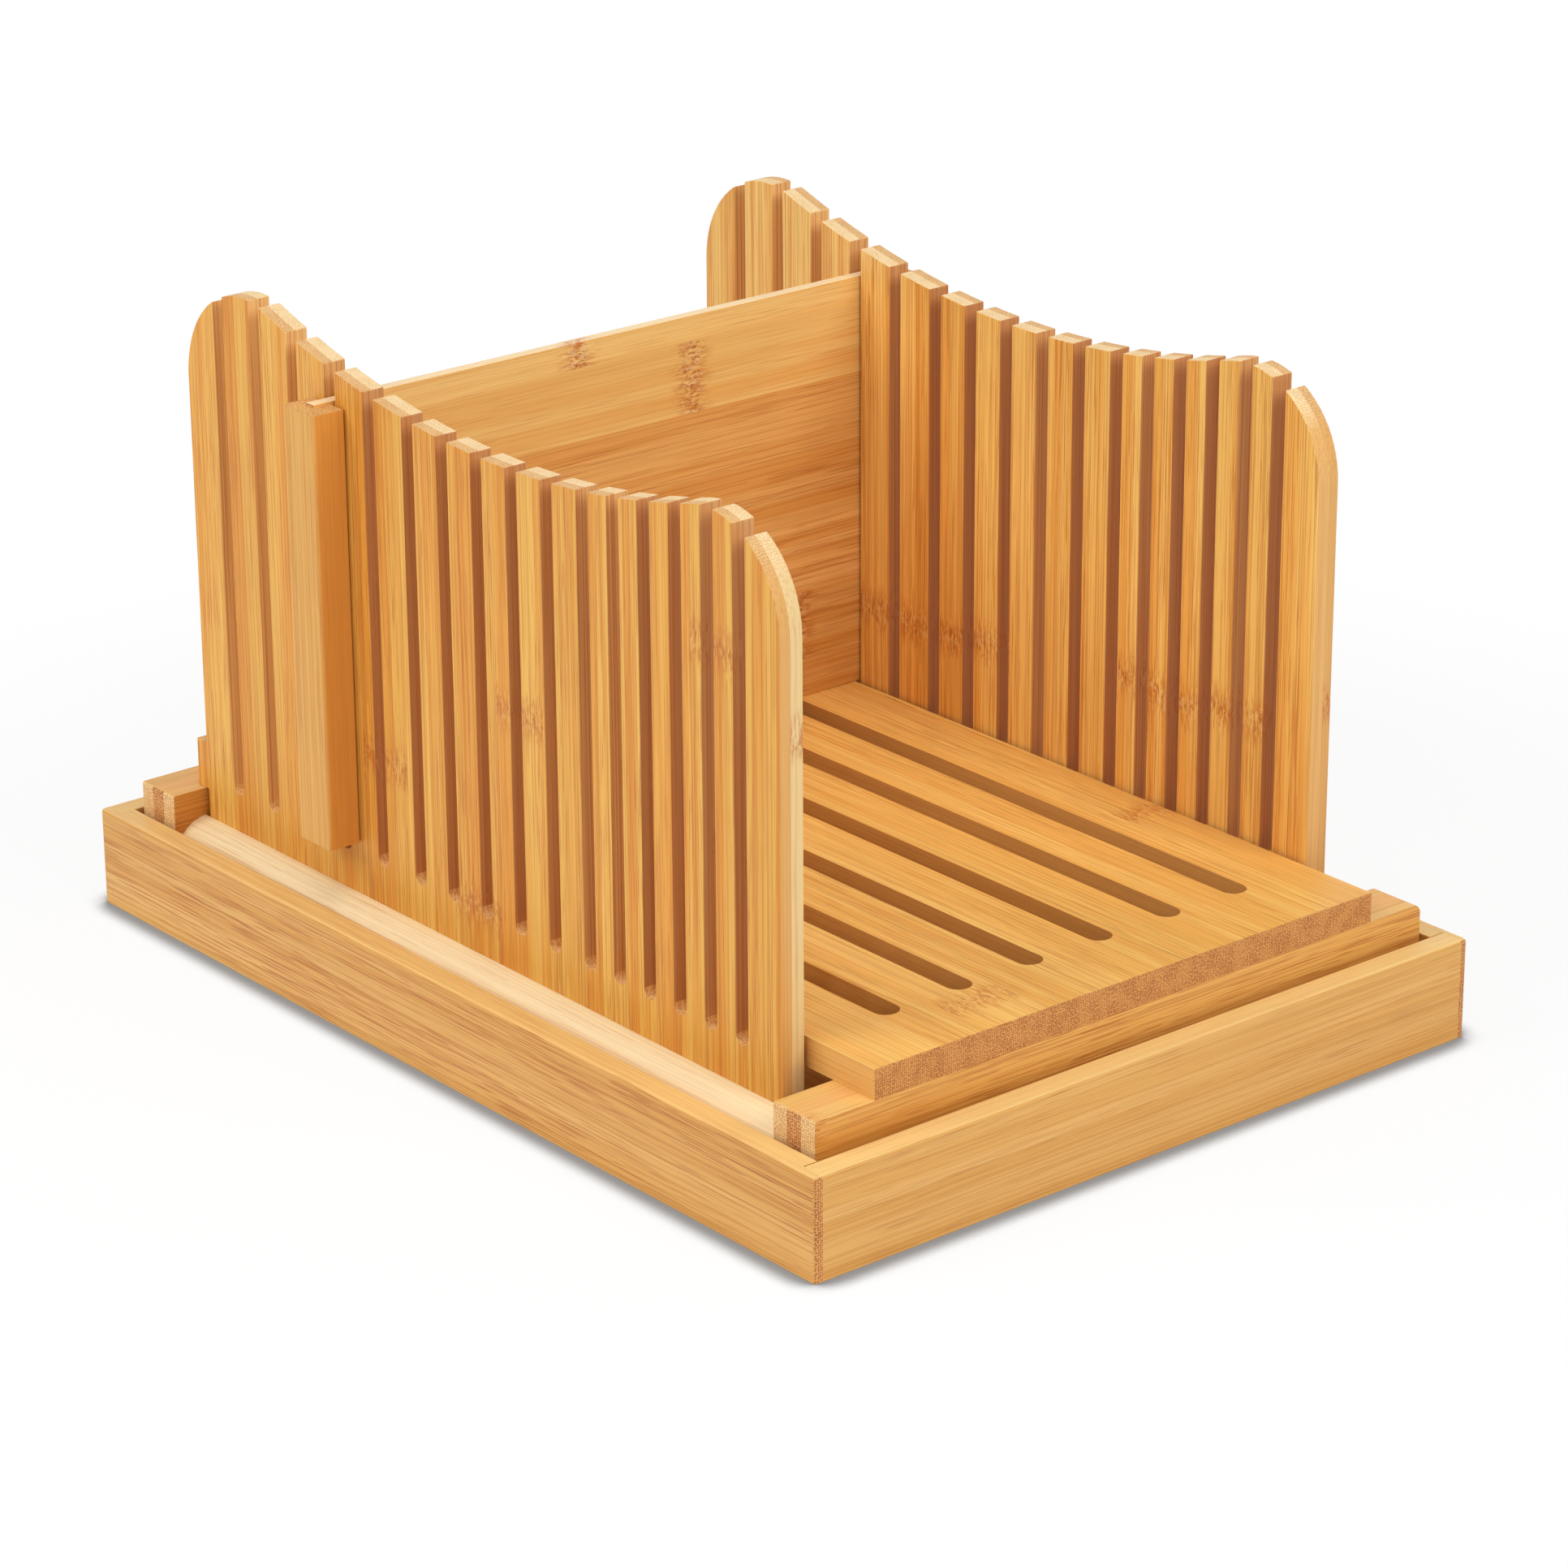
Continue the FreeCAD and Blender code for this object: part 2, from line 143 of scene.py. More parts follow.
# Draws of a random share for each strip: an offset and a jump between pieces tell them apart
LOTS = {"knot_place": (0.0, 71.0), "has_knot": (0.25, 17.0), "tone": (0.5, 29.0)}

# Tones: the lightest, how much darker a strip and a piece may be, and how much faster green and blue
# darken than red does
LIGHTEST = 1.06
STRIP_TONES = 0.1
PIECE_TONES = 0.05
GREEN_FALL, BLUE_FALL = 1.6, 2.8

# Relief and gloss
HEIGHTS = {"fibres": 0.6, "dashes": 0.4, "pores": 0.6, "pits": 0.5}
BUMP_STRENGTH = 0.35
BUMP_DEPTH = 0.12 * MILLIMETRE
GLOSS_FIBRES = (0.3, 0.75)         # between these values of their noise the fibres dull the surface
FACE_ROUGHNESS = (0.4, 0.54)
END_ROUGHNESS = 0.14               # more for end grain
SAWN_ROUGHNESS = 0.2               # more for sawn wood
SPECULAR = 0.4

# Stage: where the lamps hang, and how the floor fades
LAMP_PLACES = {
    "left_lamp": (-1.7, 0.6, 1.35),
    "front_lamp": (0.35, -1.75, 1.35),
    "fill_lamp": (-1.1, -1.35, 1.45),
    "top_lamp": (-0.2, -0.3, 2.2),
}
FLOOR_DROP = 0.05 * MILLIMETRE     # keeps the floor off the tray's underside
FLOOR_WHITE = (0.95, 0.95, 0.95, 1.0)
WHITE = (1.0, 1.0, 1.0, 1.0)
SHADOW_FADE = 1.6                  # the shadow is gone at this many times its reach
TOUCHED_FLOOR, OPEN_FLOOR = 0.58, 0.94   # openness of the floor at the tray's foot, and clear of it


# ---- Sizes and colours that a user would change -------------------------------------------------------

def length(name, description, millimetres):
    return FloatProperty(name=name, description=description, default=millimetres * MILLIMETRE,
                         min=0.0, unit="LENGTH", precision=5)


def share(name, description, value):
    return FloatProperty(name=name, description=description, default=value, min=0.0, max=1.0,
                         subtype="FACTOR")


def power(name, description, watts):
    return FloatProperty(name=name, description=description, default=watts, min=0.0, unit="POWER")


def linear(value):
    """A screen value from 0 to 255 as scene-linear light."""
    value /= 255
    return value / 12.92 if value <= 0.04045 else ((value + 0.055) / 1.055) ** 2.4


def colour(name, description, *screen):
    return FloatVectorProperty(name=name, description=description, subtype="COLOR", size=3,
                               min=0.0, max=1.0, default=[linear(value) for value in screen])


class SlicerSizes(bpy.types.PropertyGroup):
    """Sizes of the details that finish the pieces."""
    edge_ease: length("Edge ease", "Width of the sanded bevel along the pieces' edges", 0.35)
    tray_ease: length("Tray edge ease", "Width of the sanded bevel along the tray's edges", 0.5)
    joint_reach: length("Joint reach", "An edge this near to a glued neighbour stays sharp", 0.02)
    stave_width: length("Stave width", "Width of the bamboo strips that the pieces are glued from", 20.5)
    node_spacing: length("Node spacing", "Distance between the growth nodes along one strip", 260.0)
    node_length: length("Node length", "Length of a growth node's ripple along the strip", 9.0)
    flute_depth: length("Flute depth", "Depth of the glue flutes around a dowel", 0.12)
    dowel_chamfer: length("Dowel chamfer", "Length of the chamfer at a dowel's ends", 0.7)
    # Slots near the rear end are pale; farther ones take the darker slot colour, which is partly painted
    # shade
    pale_slots_reach: length("Clean cuts", "Knife slots this near to a guide's rear end are cut cleanly", 50.0)
    dark_slots_reach: length("Rough cuts", "Knife slots farther than this from it are scorched by the saw", 100.0)
    flutes: IntProperty(name="Flutes", description="Glue flutes around a dowel", default=16, min=3)


FINISH_COLOURS = {
    "face": ("Face", "Pale wood between the fibres"),
    "band": ("Band", "Broad amber bands in the faces"),
    "fibre": ("Fibre", "Thin dark fibres in the faces"),
    # On the tray, the crossbars and the upper planks this colour lies on the tops, paler there partly as
    # painted sheen
    "edge": ("Edge", "Narrow faces across the strips"),
    "end": ("End grain", "Cut ends between the pores"),
    "pore": ("Pore", "Fibre bundles in the cut ends"),
}


def finish_group(name, note, **screens):
    """A group with the colours of one finish."""
    colours = {key: colour(*FINISH_COLOURS[key], *screen) for key, screen in screens.items()}
    return type(name, (bpy.types.PropertyGroup,), {"__doc__": note, "__annotations__": colours})


# The tray's edge colour, on its rails' tops, is paler partly as painted sheen
TrayFinish = finish_group(
    "TrayFinish", "The crumb tray's bamboo.",
    face=(231, 180, 103), band=(221, 163, 80), fibre=(184, 108, 42),
    edge=(244, 204, 132), end=(218, 154, 86), pore=(140, 74, 30))
# The crossbars' edge colour, on their tops, is paler partly as painted sheen
CrossbarFinish = finish_group(
    "CrossbarFinish", "The crossbars' inner and outer plies.",
    face=(234, 174, 88), band=(220, 144, 54), fibre=(184, 102, 34),
    edge=(236, 188, 110), end=(240, 202, 144), pore=(206, 150, 88))
DarkPlyFinish = finish_group(
    "DarkPlyFinish", "The crossbars' middle plies, of denser bamboo.",
    face=(232, 168, 86), band=(222, 142, 54), fibre=(180, 100, 40),
    edge=(234, 178, 104), end=(222, 162, 98), pore=(156, 88, 42))
BoardFinish = finish_group(
    "BoardFinish", "The board that the loaf lies on.",
    face=(250, 201, 112), band=(242, 180, 89), fibre=(184, 106, 38),
    edge=(238, 184, 104), end=(218, 152, 80), pore=(154, 84, 34))
OuterPlyFinish = finish_group(
    "OuterPlyFinish", "The guides' outer plies.",
    face=(236, 182, 83), band=(224, 144, 42), fibre=(186, 96, 32),
    edge=(226, 172, 98), end=(230, 186, 126), pore=(200, 144, 86))
InnerPlyFinish = finish_group(
    "InnerPlyFinish", "The guides' inner plies, paler on their edges.",
    face=(250, 205, 114), band=(238, 170, 76), fibre=(190, 104, 36),
    edge=(236, 204, 144), end=(246, 218, 168), pore=(224, 180, 122))
PaleFinish = finish_group(
    "PaleFinish", "The foot strips' cream bamboo.",
    face=(252, 233, 184), band=(249, 220, 166), fibre=(216, 162, 98),
    edge=(253, 234, 190), end=(238, 206, 156), pore=(198, 146, 90))
PlankFinish = finish_group(
    "PlankFinish", "The stop's planks.",
    face=(238, 184, 108), band=(222, 154, 72), fibre=(184, 106, 42),
    edge=(242, 206, 150), end=(224, 172, 108), pore=(168, 108, 56))
# The upper planks' edge colour, on the stop's top, is paler partly as painted sheen
UpperPlankFinish = finish_group(
    "UpperPlankFinish", "The stop's two upper planks, lighter than the rest.",
    face=(243, 200, 121), band=(237, 180, 97), fibre=(212, 140, 66),
    edge=(240, 210, 160), end=(224, 172, 108), pore=(168, 108, 56))
CleatFinish = finish_group(
    "CleatFinish", "The stop's cleats.",
    face=(231, 179, 94), band=(226, 166, 80), fibre=(190, 114, 44),
    edge=(232, 160, 72), end=(228, 176, 106), pore=(170, 108, 54))


class SharedColours(bpy.types.PropertyGroup):
    """Colours that every finish shares."""
    # Sawn wood: the knife slots' darker colour, partly painted shade inside the slots and partly greyer
    # unoiled wood
    sawn: colour("Sawn wood", "Walls of the knife slots, as the saw leaves them", 206, 140, 84)
    # The pale colour of the slot floors and of the slots near the rear end
    pale_slot_wall: colour("Clean cut", "Walls of the knife slots that are cut cleanly", 254, 202, 128)
    ripple: colour("Node ripple", "Dark ripples in a growth node", 190, 98, 28)
    pit: colour("Node pit", "Small pits in a growth node", 146, 66, 22)


class SlicerStudio(bpy.types.PropertyGroup):
    """Camera, lamps and floor."""
    camera_place: FloatVectorProperty(name="Camera place", description="Where the camera stands",
                                      subtype="TRANSLATION", unit="LENGTH", size=3,
                                      default=(-0.85601, -1.04797, 0.58924))
    camera_turn: FloatVectorProperty(name="Camera turn", description="The camera's rotation",
                                     subtype="EULER", unit="ROTATION", size=3,
                                     default=[math.radians(a) for a in (68.45609, 0.31163, -39.6287)])
    lens: FloatProperty(name="Lens", description="Focal length in millimetres", default=120.6656)
    sensor: FloatProperty(name="Sensor", description="Sensor width in millimetres", default=36.0)
    sky: FloatProperty(name="Sky", description="Light from all round", default=0.25, min=0.0)
    left_lamp: power("Left lamp", "Power of the soft lamp at the left", 22.0)
    front_lamp: power("Front lamp", "Power of the soft lamp in front", 20.0)
    fill_lamp: power("Fill lamp", "Power of the soft lamp near the camera", 4.0)
    top_lamp: power("Top lamp", "Power of the soft lamp overhead", 13.0)
    lamp_width: length("Lamp width", "Side of each square lamp", 1200.0)
    floor_width: length("Floor width", "Side of the square floor", 8000.0)
    floor_glow: share("Floor glow", "Own white of the floor beside the slicer, to the camera", 0.85)
    contact_reach: length("Contact reach", "How far the tray darkens the floor it stands on", 10.0)
    contact_shade: share("Contact shade", "White of the floor where the tray touches it", 0.22)
    shadow_reach: length("Shadow reach", "Within this distance the floor shows the slicer's shadow", 260.0)


class SlicerSettings(bpy.types.PropertyGroup):
    """All of the slicer's settings."""
    sizes: PointerProperty(type=SlicerSizes)
    tray: PointerProperty(type=TrayFinish)
    crossbar: PointerProperty(type=CrossbarFinish)
    dark_ply: PointerProperty(type=DarkPlyFinish)
    board: PointerProperty(type=BoardFinish)
    outer_ply: PointerProperty(type=OuterPlyFinish)
    inner_ply: PointerProperty(type=InnerPlyFinish)
    pale: PointerProperty(type=PaleFinish)
    plank: PointerProperty(type=PlankFinish)
    upper_plank: PointerProperty(type=UpperPlankFinish)
    cleat: PointerProperty(type=CleatFinish)
    shared: PointerProperty(type=SharedColours)
    studio: PointerProperty(type=SlicerStudio)


def settings():
    return bpy.context.scene.bread_slicer


# ---- Shader nodes ------------------------------------------------------------------------------------

class Net:
    """Adds nodes to a tree and links them. Where a socket is wanted, a plain value does too."""

    def __init__(self, tree):
        self.tree = tree
        self.tree.nodes.clear()

    def node(self, kind, inputs=(), **values):
        made = self.tree.nodes.new(kind)
        for name, value in values.items():
            setattr(made, name, value)
        for key, value in dict(inputs).items():
            if isinstance(value, bpy.types.NodeSocket):
                self.tree.links.new(value, made.inputs[key])
            else:
                made.inputs[key].default_value = value
        return made

    def math(self, operation, *terms, clamp=False):
        return self.node("ShaderNodeMath", enumerate(terms), operation=operation,
                         use_clamp=clamp).outputs[0]

    def multiply(self, *terms):
        product = terms[0]
        for term in terms[1:]:
            product = self.math("MULTIPLY", product, term)
        return product

    def ease(self, value, low, high, start=0.0, end=1.0):
        """The value mapped smoothly from low..high to start..end."""
        inputs = {"Value": value, "From Min": low, "From Max": high, "To Min": start, "To Max": end}
        return self.node("ShaderNodeMapRange", inputs, interpolation_type="SMOOTHSTEP").outputs[0]

    def stretch(self, vector, *factors):
        return self.node("ShaderNodeVectorMath", {0: vector, 1: factors},
                         operation="MULTIPLY").outputs[0]

    def shift(self, vector, offset):
        return self.node("ShaderNodeVectorMath", {0: vector, 1: offset}, operation="ADD").outputs[0]

    def streaks(self, place, pattern):
        """The noise of one of the patterns, drawn out along the grain."""
        along, across, detail, roughness, _ = PATTERNS[pattern]
        inputs = {"Vector": self.stretch(place, along, across, across), "Scale": 1.0,
                  "Detail": detail, "Roughness": roughness}
        return self.node("ShaderNodeTexNoise", inputs).outputs["Fac"]

    def marks(self, streaks, pattern, start=0.0, end=1.0):
        """How strongly one of the patterns appears in its noise."""
        return self.ease(streaks, *PATTERNS[pattern][-1], start, end)

    def dots(self, vector, randomness, flat=False):
        """Distance to the nearest of many scattered points, one to each unit cell."""
        inputs = {"Vector": vector, "Scale": 1.0, "Randomness": randomness}
        return self.node("ShaderNodeTexVoronoi", inputs,
                         voronoi_dimensions="2D" if flat else "3D").outputs["Distance"]

    def chance(self, value):
        """A random share for each whole number."""
        return self.node("ShaderNodeTexWhiteNoise", {"W": value}, noise_dimensions="1D").outputs[0]

    def attribute(self, name):
        return self.node("ShaderNodeAttribute", attribute_name=name).outputs["Fac"]

    def blend(self, factor, base, other, mode="MIX"):
        """Two colours mixed. Each is a socket or a plain red, green and blue."""
        colours = [value if isinstance(value, bpy.types.NodeSocket) else (*value, 1.0)
                   for value in (base, other)]
        return self.node("ShaderNodeMix", {0: factor, 6: colours[0], 7: colours[1]},
                         data_type="RGBA", blend_type=mode).outputs[2]


# ---- Bamboo ------------------------------------------------------------------------------------------

class Grain:
    """Places in one piece of bamboo, in millimetres: along its fibres, across its strips and through
    its thickness, with the share by which the surface faces each way."""

    def __init__(self, net, along, across, divided):
        place = net.node("ShaderNodeTexCoord").outputs["Object"]
        turned = net.node("ShaderNodeMapping", {
            "Vector": place, "Rotation": GRAIN_TURNS[along], "Scale": (1 / MILLIMETRE,) * 3})
        self.seed = net.attribute("seed")
        jump = net.node("ShaderNodeCombineXYZ", {
            index: net.multiply(self.seed, reach) for index, reach in enumerate(GRAIN_JUMPS)})
        self.place = net.shift(turned.outputs[0], jump.outputs[0])
        self.axes = net.node("ShaderNodeSeparateXYZ", {0: self.place}).outputs
        width = self.axes["XYZ".index(across)]
        strips = net.math("DIVIDE", width, settings().sizes.stave_width / MILLIMETRE)
        self.strip = net.math("FLOOR", strips) if divided else 0.0
        facing = net.node("ShaderNodeSeparateXYZ", {
            0: net.node("ShaderNodeNewGeometry").outputs["Normal"]}).outputs
        narrow = NARROW_AXES[along + across]
        self.end = net.ease(net.math("ABSOLUTE", facing["XYZ".index(along)]), *END_FACING)
        self.edge = net.ease(net.math("ABSOLUTE", facing["XYZ".index(narrow)]), *EDGE_FACING)

    def lot(self, net, draw):
        """A random share for each strip of each piece."""
        offset, jump = LOTS[draw]
        strip = net.math("ADD", self.strip, offset) if offset else self.strip
        return net.chance(net.math("ADD", strip, net.multiply(self.seed, jump)))


def growth_node(net, grain, scatter, share_with):
    """How strongly each place lies in a growth node. The share of the strips that have nodes have one
    at the piece's knot, give or take half the scatter, and others a whole spacing from it."""
    sizes = settings().sizes
    spacing = sizes.node_spacing / MILLIMETRE
    start = net.multiply(net.math("SUBTRACT", grain.lot(net, "knot_place"), 0.5), scatter)
    waver = net.multiply(net.streaks(grain.place, "knot_waver"), KNOT_WAVER)
    along = net.math("SUBTRACT", net.math("ADD", grain.axes[0], waver),
                     net.math("ADD", net.attribute("knot"), start))
    turns = net.math("FRACT", net.math("ADD", net.math("DIVIDE", along, spacing), 0.5))
    away = net.multiply(net.math("ABSOLUTE", net.math("SUBTRACT", turns, 0.5)), spacing)
    return net.multiply(net.ease(away, sizes.node_length / MILLIMETRE, 0.0),
                        net.math("LESS_THAN", grain.lot(net, "has_knot"), share_with))


def rippled(net, grain, knot):
    """The places of the grain, swayed from side to side within a growth node."""
    wave = net.math("SUBTRACT", net.streaks(grain.place, "knot_ripple"), 0.5)
    sway = net.multiply(knot, wave, RIPPLE_HEIGHT)
    return net.shift(grain.place, net.node("ShaderNodeCombineXYZ", {1: sway, 2: sway}).outputs[0])


def striped_wood(net, grain, bent, finish, fibres, dashes, edge_colour):
    """Wood with broad bands, long fibres and short dashes, fainter on the strips' narrow faces."""
    bands = net.marks(net.streaks(bent, "bands"), "bands")
    face = net.blend(net.multiply(bands, STRENGTHS["bands"]), finish.face, finish.band)
    face = net.blend(fibres, face, finish.fibre)
    face = net.blend(net.multiply(dashes, STRENGTHS["dashes"]), face, finish.fibre)
    faint = net.math("ADD", net.multiply(fibres, STRENGTHS["edge_fibres"]),
                     net.multiply(dashes, STRENGTHS["edge_dashes"]))
    edge = net.blend(faint, edge_colour or finish.edge, finish.fibre)
    return net.blend(grain.edge, face, edge)


def with_knot(net, grain, bent, knot, wood, finish, pitted):
    """The wood with a growth node's dark flame and its narrow core of light flecks and dark pits, and
    the pits by themselves."""
    shared = settings().shared
    flame = net.marks(net.streaks(bent, "knot_flame"), "knot_flame")
    wood = net.blend(net.multiply(knot, flame, STRENGTHS["knot_flame"]), wood, shared.ripple)
    core = net.multiply(net.ease(knot, *KNOT_CORE), net.math("SUBTRACT", 1.0, grain.edge))
    flecks_and_sheen = net.marks(net.streaks(bent, "knot_flecks_and_sheen"), "knot_flecks_and_sheen")
    wood = net.blend(net.multiply(core, flecks_and_sheen, STRENGTHS["knot_flecks_and_sheen"]), wood, finish.edge)
    pits = net.ease(net.dots(net.stretch(bent, *PIT_PLACES), 1.0), *PIT_EDGE)
    pits = net.multiply(core, pits, pitted)
    return net.blend(net.multiply(pits, STRENGTHS["pits"]), wood, shared.pit), pits


def toned(net, grain, wood):
    """The wood with a tone for each strip and each piece. Darker ones are redder too."""
    tone = net.math("ADD", net.multiply(grain.lot(net, "tone"), STRIP_TONES),
                    net.multiply(grain.seed, PIECE_TONES))
    level = net.math("SUBTRACT", LIGHTEST, tone)
    tint = net.node("ShaderNodeCombineColor", {
        0: level, 1: net.math("POWER", level, GREEN_FALL), 2: net.math("POWER", level, BLUE_FALL)})
    return net.blend(1.0, wood, tint.outputs[0], "MULTIPLY")


def end_pores(net, grain, pitch):
    """The fibre bundles that show in a cut end, packed more closely in places."""
    section = net.node("ShaderNodeCombineXYZ", {
        0: net.multiply(grain.axes[1], 1 / pitch), 1: net.multiply(grain.axes[2], 1 / pitch)}).outputs[0]
    crowding = net.marks(net.streaks(grain.place, "pore_crowding"), "pore_crowding", *PORE_EDGES)
    return net.ease(net.dots(section, PORE_SCATTER, flat=True), crowding, PORE_CORE)


def sawn_and_shaded_wood(net, finish, noise):
    """The knife slots' walls, darker where the saw scorched them."""
    shared = settings().shared
    wood = net.blend(net.attribute("clean"), shared.sawn, shared.pale_slot_wall)
    fibres = net.ease(noise, *SAWN_FIBRES)
    return net.blend(net.multiply(fibres, STRENGTHS["sawn_fibres"]), wood, finish.fibre)


def bamboo(name, finish, along, across, pore_pitch=0.8, nodes=1.0, stripes=0.5, dashes=0.9,
           scatter=None, divided=True, edge_colour=None, pitted=1.0):
    """Laminated bamboo. Its fibres run along one axis of the part, and its strips lie side by side
    along the grain's own Y (its width) or Z (its thickness). Stripes are long fibres and dashes short.
    Nodes is the share of the strips that have growth nodes. Scatter is the distance in millimetres over
    which those lie, or None for all of the length. A piece that isn't divided is a single strip. An edge
    colour replaces the finish's own. Pitted is the strength of the pits in its growth nodes."""
    made = bpy.data.materials.new(name)
    made.use_nodes = True
    net = Net(made.node_tree)
    grain = Grain(net, along, across, divided)
    if scatter is None:
        scatter = settings().sizes.node_spacing / MILLIMETRE if divided else 0.0
    knot = growth_node(net, grain, scatter, nodes)
    bent = rippled(net, grain, knot)

    fibre_noise = net.streaks(bent, "fibres")
    long_lines = net.multiply(net.marks(fibre_noise, "fibres"), STRENGTHS["fibres"] * stripes)
    dash_noise = net.streaks(bent, "dashes")
    patches = net.marks(net.streaks(bent, "dash_patches"), "dash_patches", SPARSE_DASHES, 1.0)
    short_lines = net.multiply(net.marks(dash_noise, "dashes"), patches, dashes)
    wood = striped_wood(net, grain, bent, finish, long_lines, short_lines, edge_colour)
    wood, pits = with_knot(net, grain, bent, knot, wood, finish, pitted)
    wood = toned(net, grain, wood)
    pores = end_pores(net, grain, pore_pitch)
    cut_end = net.blend(net.multiply(pores, STRENGTHS["pores"]), finish.end, finish.pore)
    wood = net.blend(grain.end, wood, cut_end)
    # The knife slots' darker colour, partly painted shade inside the slots and partly greyer unoiled wood
    sawn = net.attribute("sawn")
    wood = net.blend(net.multiply(sawn, STRENGTHS["sawn"]), wood, sawn_and_shaded_wood(net, finish, fibre_noise))

    height = net.math("ADD", net.multiply(fibre_noise, HEIGHTS["fibres"]),
                      net.multiply(dash_noise, HEIGHTS["dashes"]))
    height = net.math("SUBTRACT", height, net.multiply(grain.end, pores, HEIGHTS["pores"]))
    height = net.math("SUBTRACT", height, net.multiply(pits, HEIGHTS["pits"]))
    bump = net.node("ShaderNodeBump", {
        "Height": height, "Strength": BUMP_STRENGTH, "Distance": BUMP_DEPTH})
    roughness = net.math("ADD", net.ease(fibre_noise, *GLOSS_FIBRES, *FACE_ROUGHNESS),
                         net.multiply(grain.end, END_ROUGHNESS))
    roughness = net.math("ADD", roughness, net.multiply(sawn, SAWN_ROUGHNESS), clamp=True)
    surface = net.node("ShaderNodeBsdfPrincipled", {
        "Base Color": wood, "Roughness": roughness, "Specular IOR Level": SPECULAR,
        "Normal": bump.outputs[0]})
    net.node("ShaderNodeOutputMaterial", {0: surface.outputs[0]})
    return made


# ---- Dressing the packed pieces ----------------------------------------------------------------------

def neighbours(node, body):
    """The boxes of the other pieces on the same body."""
    members = frame["record"]["behaviour"]["bodies"][body]
    return [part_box(other) for other in members if other != node]


def lies_flush(edge, boxes, reach):
    """Whether an edge lies on or in a glued neighbour, so that it shows as a joint and not a corner."""
    points = [vertex.co for vertex in edge.verts]
    points.append((points[0] + points[1]) / 2)
    return any(all(low[i] - reach <= point[i] <= high[i] + reach for point in points for i in range(3))
               for low, high in boxes)


def paleness_of_slot(node, y):
    """How cleanly a wall of a guide's knife slot is cut. The rearmost slots are clean, and the saw
    scorched the rest, some of them less than others."""
    sizes = settings().sizes
    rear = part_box(node)[1].y
    fade = max(sizes.dark_slots_reach - sizes.pale_slots_reach, MILLIMETRE)
    side = node.split("_")[1]
    lot = random.Random(f"{side} {round(y / MILLIMETRE)}").random()
    return min(1.0, max(PALEST_FAR_SLOT * lot ** 3, (sizes.dark_slots_reach - (rear - y)) / fade))


def mark_sawn_and_shaded(bm, node):
    """Marks the walls and floors of a guide's knife slots, and how cleanly they are cut."""
    layers = bm.faces.layers.float
    layers.new("sawn")
    layers.new("clean")
    low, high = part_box(node)
    slot_floor = min(face.calc_center_median().z for face in bm.faces
                     if face.normal.z > LOOKS_UP and face.calc_center_median().z > low.z + FOOT_HEIGHT)
    for face in bm.faces:
        centre = face.calc_center_median()
        wall = abs(face.normal.y) > LOOKS_ALONG and low.y + SHOULDER < centre.y < high.y - SHOULDER
        floor = (abs(face.normal.x) < LOOKS_ASIDE and face.normal.z > 0
                 and centre.z < slot_floor + FLOOR_RISE)
        if (wall or floor) and centre.z > slot_floor - MILLIMETRE:
            face[layers["sawn"]] = 1.0
            face[layers["clean"]] = 1.0 if floor else paleness_of_slot(node, centre.y)


def sand(bm, node, body, ease):
    """Bevels a piece's open corners, and shades it smooth but for its corners."""
    boxes = neighbours(node, body)
    reach = settings().sizes.joint_reach
    corners = [edge for edge in bm.edges
               if edge.is_manifold and edge.is_convex and edge.calc_face_angle() > CORNER_ANGLE]
    open_corners = [edge for edge in corners if not lies_flush(edge, boxes, reach)]
    bmesh.ops.bevel(bm, geom=open_corners, offset=ease, offset_type="OFFSET", segments=2, profile=0.5,
                    affect="EDGES", clamp_overlap=True, loop_slide=True)
    for edge in bm.edges:
        edge.smooth = len(edge.link_faces) == 2 and edge.calc_face_angle() < SMOOTH_ANGLE
    for face in bm.faces:
        face.smooth = True


def dressed(node, body, material, slot, ease, seed, sawn=False):
    """A copy of a packed piece with sanded edges, which then stands for it."""
    bm = bmesh.new()
    bm.from_mesh(frame["nodes"][node].data)
    bmesh.ops.remove_doubles(bm, verts=bm.verts, dist=MERGE_DISTANCE)
    bmesh.ops.dissolve_limit(bm, angle_limit=FLAT_ANGLE, verts=bm.verts, edges=bm.edges)
    sand(bm, node, body, ease)
    if sawn:
        mark_sawn_and_shaded(bm, node)
    mesh = bpy.data.meshes.new(node + "_dressed")
    bm.to_mesh(mesh)
    bm.free()
    knot = KNOTS.get(node, KNOT_SPREAD * (seed - 0.5))
    for name, value in (("seed", seed), ("knot", knot + seed * GRAIN_JUMPS[0])):
        values = mesh.attributes.new(name, "FLOAT", "FACE")
        values.data.foreach_set("value", [value] * len(mesh.polygons))
    return finished(mesh, node + "_dressed", body, material, slot, node)


def finished(mesh, name, body, material, slot, *nodes):
    """The mesh as a piece of the scene: its normals weighted by area, on its body, for these nodes."""
    piece = bpy.data.objects.new(name, mesh)
    bpy.context.scene.collection.objects.link(piece)
    weigh = piece.modifiers.new("Weigh normals", "WEIGHTED_NORMAL")
    weigh.keep_sharp = True
    baked = bpy.data.meshes.new_from_object(piece.evaluated_get(bpy.context.evaluated_depsgraph_get()))
    piece.modifiers.remove(weigh)
    piece.data = baked
    baked.materials.clear()
    baked.materials.append(material)
    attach(piece, body)
    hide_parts(*nodes)
    return piece


def present(*names):
    """Raises an error if the packed part lacks one of these pieces."""
    missing = [name for name in names if name not in frame["nodes"]]
    if missing:
        raise RuntimeError("The packed part has no piece named " + ", ".join(missing))
    return names


def dress(names, body, wood, slot, ease=None):
    """Dresses pieces that share a wood. Each has a seed by hand or from its name, alike on every run."""
    if ease is None:
        ease = settings().sizes.edge_ease
    for name in present(*names):
        seed = SEEDS.get(name, random.Random(name).random())
        dressed(name, body, wood, slot, ease, seed, sawn=name.startswith("guide_"))


